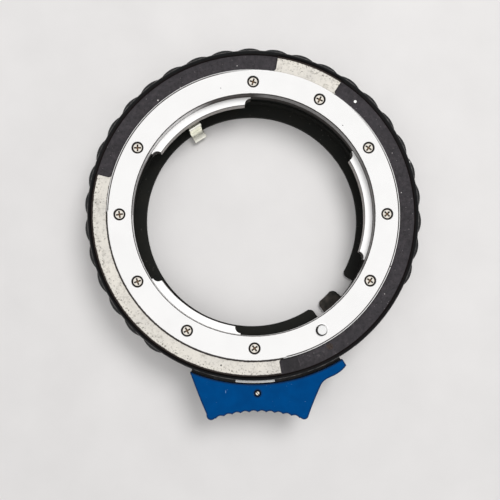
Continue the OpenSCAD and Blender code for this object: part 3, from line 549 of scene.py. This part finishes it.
# Black anodised aluminium, machined: darker than the body, with a pale line along the front edge
# of the lip that is a painted highlight.
def black_anodised_ring_with_painted_highlight(colours, wear):
    f = Finish("black_anodised_ring_with_painted_highlight", colours.ring, 0.0, 0.42)
    f.coat(linear("#332C2B"), 0.0, 0.5, f.patches(0.8, 0.55, 0.8, 4.0, 0.7), 0.6)
    within = f.profile(f.radius, (LIP - 0.45, 1.0), (LIP - 0.35, 0.0))
    f.coat(linear("#1E1716"), 0.0, 0.5, within, 0.8)
    # Painted highlight: a pale, uneven line along the lip's front edge
    front = f.profile(f.z, (RIM_TOP - 0.06, 0.0), (RIM_TOP - 0.03, 1.0))
    lip = f.profile(
        f.radius, (LIP - 0.1, 0.0), (LIP - 0.06, 1.0), (LIP + 0.02, 1.0), (LIP + 0.06, 0.0),
    )
    f.coat(colours.lip_highlight, 0.6, 0.42, front, lip, f.patches(1.2, 0.4, 0.62, 4.0, 0.65), 0.6)
    f.coat(linear("#E4E2E0"), 0.2, 0.42, f.marks((30.5, 10.2, 0.13)))
    return f.close(
        f.patches(wear.grain / MM, 0.0, 1.0), 0.2, 0.03, wear.edge, specular=0.3,
    )


# Matte black paint on turned brass: swallows light, with a few specks of dust.
def matte_black_paint(colours, wear):
    f = Finish("matte_black_paint", colours.baffle, 0.0, 0.6)
    f.coat(linear("#26241F"), 0.0, 0.7, f.patches(3.0, 0.35, 0.75, 4.0), 0.5)
    f.coat(linear("#8B8680"), 0.0, 0.6, f.patches(0.35, 0.75, 0.78, 1.0), 0.5)
    # The short piece of wall between the two notches is lighter
    short_wall = f.profile(f.angle, (-55.0, 0.0), (-54.0, 1.0), (-42.0, 1.0), (-41.0, 0.0))
    f.coat(linear("#4A443F"), 0.0, 0.6, short_wall, f.patches(1.2, 0.3, 0.7), 0.9)
    return f.close(
        f.patches(wear.grain / MM, 0.0, 1.0), 0.3, 0.04, wear.edge, specular=0.2,
    )


# Blue anodised aluminium on a blasted surface: dye in the oxide over bright metal, so that the
# gleam itself is blue. Its sides and sharp edges are dark and dull, which is painted shade and
# draws a line round the lever, and a dark ring of painted shade round its screw. A few pale
# scratches and dust.
def blue_anodised_aluminium(colours, wear):
    f = Finish("blue_anodised_aluminium", colours.blue, 0.95, 0.4)
    f.coat(linear("#033C74"), 0.95, 0.46, f.patches(2.5, 0.3, 0.75, 4.0), 0.6)
    scratched = linear("#8FB2DA")
    f.coat(scratched, 0.95, 0.4, f.patches(0.3, 0.765, 0.785, 1.0), 0.4)
    across = f.profile(f.x, (-5.65, 0.0), (-5.61, 1.0), (-5.55, 1.0), (-5.51, 0.0))
    along = f.profile(f.y, (-34.5, 0.0), (-34.4, 0.6), (-34.0, 0.6), (-33.9, 0.0))
    f.coat(scratched, 0.6, 0.4, across, along)
    # Painted shade on the lever's sides and sharp edges, and round its screw
    sides = f.profile(f.z, (LEVER_TOP - 0.12, 1.0), (LEVER_TOP - 0.04, 0.0))
    f.coat(linear("#021F42"), 0.0, 0.7, sides)
    f.coat(linear("#03203F"), 0.3, 0.7, f.edges(0.7), 0.7)
    round_screw = f.profile(
        f.away(LEVER_SCREW), (SCREW_HOLE + 0.14, 1.0), (SCREW_HOLE + 0.2, 0.0),
    )
    f.coat(linear("#020F24"), 0.3, 0.5, round_screw)
    return f.close(
        f.patches(wear.grain / MM, 0.0, 1.0), 0.25, 0.03, wear.edge, specular=0.2,
    )


# Bright rolled and bent strip: pale plated metal with dull patches.
def bright_rolled_strip(colours, wear):
    f = Finish("bright_rolled_strip", colours.strip, 0.9, 0.24)
    f.coat(linear("#D9DAC8"), 0.9, 0.34, f.patches(0.9, 0.52, 0.75), 0.5)
    return f.close(f.patches(0.2, 0.0, 1.0, 2.0), 0.2, 0.02, wear.edge)


# White enamel paint in a mark: flat white, a little uneven, with a dark ring of painted shadow
# from the engraved rim round the index dot.
def white_enamel_paint(colours, wear):
    f = Finish("white_enamel_paint", colours.white, 0.0, 0.45)
    f.coat(linear("#9C9893"), 0.0, 0.55, f.patches(0.4, 0.5, 0.75), 0.25)
    round_dot = f.profile(
        f.away(INDEX_DOT), (0.27, 0.0), (0.3, 1.0), (0.6, 1.0), (0.61, 0.0),
    )
    f.dirt_and_shade(colours.grime_and_shade, round_dot)
    return f.close(f.patches(0.2, 0.0, 1.0), 0.2, 0.02, wear.edge / 3)


# Ground spring steel and pins: cool grey metal with fine grinding marks.
def ground_steel(colours, wear):
    f = Finish("ground_steel", colours.steel, 1.0, 0.25)
    f.coat(linear("#ADABA8"), 1.0, 0.3, f.patches(0.8, 0.4, 0.7))
    return f.close(f.patches(0.15, 0.0, 1.0, 2.0), 0.15, 0.01, wear.edge / 3)


# Polished steel of the lock pin: the brightest spot, with painted shadow on one side down in its
# hole.
def polished_pin_steel(colours, wear):
    f = Finish("polished_pin_steel", linear("#F4F4F3"), 1.0, 0.24)
    f.coat(linear("#CFCCC8"), 1.0, 0.3, f.patches(0.5, 0.5, 0.75), 0.2)
    # Painted shadow on one side of the pin, below its top
    down = f.profile(f.z, (PIN_TOP - 0.14, 1.0), (PIN_TOP - 0.06, 0.0))
    shadow_side = f.profile(f.past_pin(), (-0.4, 0.0), (0.0, 1.0))
    f.coat(linear("#2C2622"), 0.4, 0.5, down, shadow_side)
    return f.close(f.patches(0.2, 0.0, 1.0), 0.1, 0.01, wear.edge / 3)


# Blackened steel of the slide: oily black with worn grey where it rubs.
def blackened_steel(colours, wear):
    f = Finish("blackened_steel", linear("#121112"), 0.4, 0.45)
    f.coat(linear("#4C494A"), 0.6, 0.4, f.patches(1.4, 0.52, 0.75), 0.35)
    return f.close(f.patches(0.25, 0.0, 1.0), 0.2, 0.02, wear.edge / 3)


# Tarnished brass of the stop screw: brown and dull, with a trace of its old gold.
def tarnished_brass(colours, wear):
    f = Finish("tarnished_brass", colours.brass, 0.4, 0.55)
    f.coat(linear("#5C4A3C"), 0.6, 0.5, f.patches(0.5, 0.5, 0.75), 0.4)
    return f.close(f.patches(0.25, 0.0, 1.0), 0.3, 0.02, wear.edge / 3)


def finish_node(name, material):
    """Puts a finish on one part of the frame."""
    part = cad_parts[name]
    part.data.materials.clear()
    part.data.materials.append(material)


def swept_strip(name, section, start, end, steps=24):
    """Mesh of one closed section, swept round the optical axis from angle to angle."""
    shape = bmesh.new()
    rows = []
    for i in range(steps + 1):
        turn = math.radians(start + (end - start) * i / steps)
        rows.append([
            shape.verts.new((r * math.cos(turn) * MM, r * math.sin(turn) * MM, z * MM))
            for r, z in section
        ])
    for row, onward in zip(rows, rows[1:]):
        for i in range(len(section)):
            shape.faces.new((row[i - 1], row[i], onward[i], onward[i - 1]))
    shape.faces.new(rows[0])
    shape.faces.new(rows[-1])
    bmesh.ops.recalc_face_normals(shape, faces=shape.faces)
    mesh = bpy.data.meshes.new(name)
    shape.to_mesh(mesh)
    shape.free()
    return mesh


class ADAPTER_OT_bayonets(bpy.types.Operator):
    """Finish the mount ring and the camera bayonet in satin chrome"""

    bl_idname = "adapter.bayonets"
    bl_label = "Finish bayonets"

    def execute(self, context):
        colours, wear = context.scene.adapter_colours, context.scene.adapter_wear
        for node, painted_bore in (("mount_ring", False), ("camera_bayonet", True)):
            finish_node(node, satin_chrome_on_turned_brass(
                colours, wear, f"satin_chrome_{node}", painted_bore,
            ))
        return {"FINISHED"}


class ADAPTER_OT_screws(bpy.types.Operator):
    """Finish the screws in nickel plated steel with dirt and painted shade in their crosses"""

    bl_idname = "adapter.screws"
    bl_label = "Finish screws"

    def execute(self, context):
        colours, wear = context.scene.adapter_colours, context.scene.adapter_wear
        heads = (
            ("mount_ring_screws", top_of("mount_ring_screws"), 1, None, 0.8),
            ("camera_bayonet_screws", rear_of("camera_bayonet_screws"), -1, None, None),
            ("finger_screws", top_of("finger_screws"), 1, None, None),
            ("lever_screw", top_of("lever_screw"), 1, LEVER_SCREW, SCREW_HOLE - 0.12),
        )
        for node, *head in heads:
            finish = nickel_plated_screw_steel(colours, wear, f"nickel_{node}", *head)
            finish_node(node, finish)
        finish_node("slide_stop_screw", tarnished_brass(colours, wear))
        return {"FINISHED"}


class ADAPTER_OT_body(bpy.types.Operator):
    """Finish the body ring, the baffle and the white marks"""

    bl_idname = "adapter.body"
    bl_label = "Finish body ring"

    def execute(self, context):
        colours, wear = context.scene.adapter_colours, context.scene.adapter_wear
        finish_node("body_ring", worn_black_anodised_aluminium(colours, wear))
        finish_node("light_baffle", matte_black_paint(colours, wear))
        white = white_enamel_paint(colours, wear)
        finish_node("index_dot", white)
        finish_node("lever_index_bar", white)
        return {"FINISHED"}


class ADAPTER_OT_aperture_ring(bpy.types.Operator):
    """Finish the scalloped aperture ring, its finger and its drag spring"""

    bl_idname = "adapter.aperture_ring"
    bl_label = "Finish aperture ring"

    def execute(self, context):
        colours, wear = context.scene.adapter_colours, context.scene.adapter_wear
        finish_node("aperture_ring", black_anodised_ring_with_painted_highlight(colours, wear))
        finish_node("aperture_finger", bright_rolled_strip(colours, wear))
        finish_node("drag_spring", ground_steel(colours, wear))
        return {"FINISHED"}


class ADAPTER_OT_release(bpy.types.Operator):
    """Finish the blue lever, the lock pin and the slide, and make the slide's dark aprons, which
    darken the shaded gap under the lever
    """

    bl_idname = "adapter.release"
    bl_label = "Finish release"

    def execute(self, context):
        colours, wear = context.scene.adapter_colours, context.scene.adapter_wear
        finish_node("release_lever", blue_anodised_aluminium(colours, wear))
        black = blackened_steel(colours, wear)
        finish_node("release_slide", black)
        # The aprons are dark strips that darken the shaded gap between the aperture ring and the
        # lever
        for name, span in APRON_SPANS.items():
            apron = bpy.data.objects.new(name, swept_strip(name, APRON_SECTION, *span))
            apron.data.materials.append(black)
            context.scene.collection.objects.link(apron)
            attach(apron, "release_lever")
        finish_node("lock_pin", polished_pin_steel(colours, wear))
        steel = ground_steel(colours, wear)
        for name in ("lever_pins", "lock_pin_spring", "return_spring"):
            finish_node(name, steel)
        return {"FINISHED"}


class ADAPTER_OT_stage(bpy.types.Operator):
    """Make the pale floor, the soft light and the camera"""

    bl_idname = "adapter.stage"
    bl_label = "Make stage"

    def execute(self, context):
        stage = context.scene.adapter_stage
        context.scene.view_settings.view_transform = "Standard"
        self.floor(context, stage)
        self.light(context, stage)
        self.camera(context, stage)
        return {"FINISHED"}

    def floor(self, context, stage):
        """Matte pale board, a little cloudy, as wide as any view needs."""
        f = Finish("pale_matte_board", stage.floor, 0.0, 0.9)
        f.coat(linear("#D8D6D5"), 0.0, 0.9, f.patches(14.0, 0.3, 0.7))
        corners = [
            (x * FLOOR_HALF, y * FLOOR_HALF, REAR * MM)
            for x, y in ((-1, -1), (1, -1), (1, 1), (-1, 1))
        ]
        mesh = bpy.data.meshes.new("pale_floor")
        mesh.from_pydata(corners, [], [(0, 1, 2, 3)])
        mesh.materials.append(f.close(f.patches(0.5, 0.0, 1.0), 0.05, 0.02, 0.0))
        floor = bpy.data.objects.new("pale_floor", mesh)
        context.scene.collection.objects.link(floor)

    def light(self, context, stage):
        """Soft light that falls from above and dims to the horizon, and a small lamp.

        The camera, metal and glass see a plain white background instead.
        """
        world = bpy.data.worlds.new("soft_studio")
        context.scene.world = world
        world.use_nodes = True
        tree = world.node_tree
        tree.nodes.clear()
        direction = add(tree, "TexCoord", out="Generated")
        up = add(tree, "SeparateXYZ", direction, out="Z")
        height = add(tree, "MapRange", up, 0.3, 0.85)
        white = linear("#FFFFFF")
        overhead = add(
            tree, "Mix", named={0: height, 6: linear("#3A3A3C"), 7: white}, out=2,
            data_type="RGBA",
        )
        seen = add(tree, "LightPath", out="Is Camera Ray")
        mirrored = seen.node.outputs["Is Glossy Ray"]
        through = seen.node.outputs["Is Transmission Ray"]
        sight = add(tree, "Math", seen, mirrored, operation="MAXIMUM")
        sight = add(tree, "Math", sight, through, operation="MAXIMUM")
        colour = add(
            tree, "Mix", named={0: sight, 6: overhead, 7: white}, out=2, data_type="RGBA",
        )
        strength = add(tree, "Mix", sight, None, stage.sky, 1.0)
        add(tree, "OutputWorld", add(tree, "Background", colour, strength))
        data = bpy.data.lights.new("soft_lamp", "AREA")
        data.shape = "DISK"
        data.size = LAMP_WIDTH
        data.energy = stage.lamp
        lamp = bpy.data.objects.new("soft_lamp", data)
        lamp.location = LAMP_PLACE
        lamp.rotation_euler = (Vector() - lamp.location).to_track_quat("-Z", "Y").to_euler()
        lamp.visible_glossy = False
        context.scene.collection.objects.link(lamp)

    def camera(self, context, stage):
        """Nearly straight above the lens side, as the photograph was taken."""
        data = bpy.data.cameras.new("photo_camera")
        data.lens = stage.lens
        data.shift_x, data.shift_y = stage.shift
        data.clip_start = 0.001
        camera = bpy.data.objects.new("photo_camera", data)
        x_turn, y_turn, z_turn = (
            Matrix.Rotation(turn, 3, axis) for turn, axis in zip(stage.camera_tilt, "XYZ")
        )
        turned = (z_turn @ y_turn @ x_turn).transposed().to_4x4()
        camera.matrix_world = Matrix.Translation(stage.camera_place) @ turned
        context.scene.collection.objects.link(camera)
        context.scene.camera = camera


class ADAPTER_PT_sidebar(bpy.types.Panel):
    """Lists the adapter's finishes, wear and stage"""

    bl_idname = "ADAPTER_PT_sidebar"
    bl_label = "Lens mount adapter"
    bl_space_type = "VIEW_3D"
    bl_region_type = "UI"
    bl_category = "Adapter"

    def draw(self, context):
        for operator in OPERATORS:
            self.layout.operator(operator.bl_idname)
        for group in ("adapter_colours", "adapter_wear", "adapter_stage"):
            values = getattr(context.scene, group)
            box = self.layout.box()
            for name in values.__annotations__:
                box.prop(values, name)


OPERATORS = (
    ADAPTER_OT_bayonets,
    ADAPTER_OT_screws,
    ADAPTER_OT_body,
    ADAPTER_OT_aperture_ring,
    ADAPTER_OT_release,
    ADAPTER_OT_stage,
)
CLASSES = (AdapterColours, AdapterWear, AdapterStage, *OPERATORS, ADAPTER_PT_sidebar)


def register():
    for each in CLASSES:
        bpy.utils.register_class(each)
    bpy.types.Scene.adapter_colours = bpy.props.PointerProperty(type=AdapterColours)
    bpy.types.Scene.adapter_wear = bpy.props.PointerProperty(type=AdapterWear)
    bpy.types.Scene.adapter_stage = bpy.props.PointerProperty(type=AdapterStage)


def unregister():
    del bpy.types.Scene.adapter_stage
    del bpy.types.Scene.adapter_wear
    del bpy.types.Scene.adapter_colours
    for each in reversed(CLASSES):
        bpy.utils.unregister_class(each)


def main():
    register()
    bpy.ops.adapter.bayonets()
    bpy.ops.adapter.screws()
    bpy.ops.adapter.body()
    bpy.ops.adapter.aperture_ring()
    bpy.ops.adapter.release()
    bpy.ops.adapter.stage()


if __name__ == "__main__":
    main()
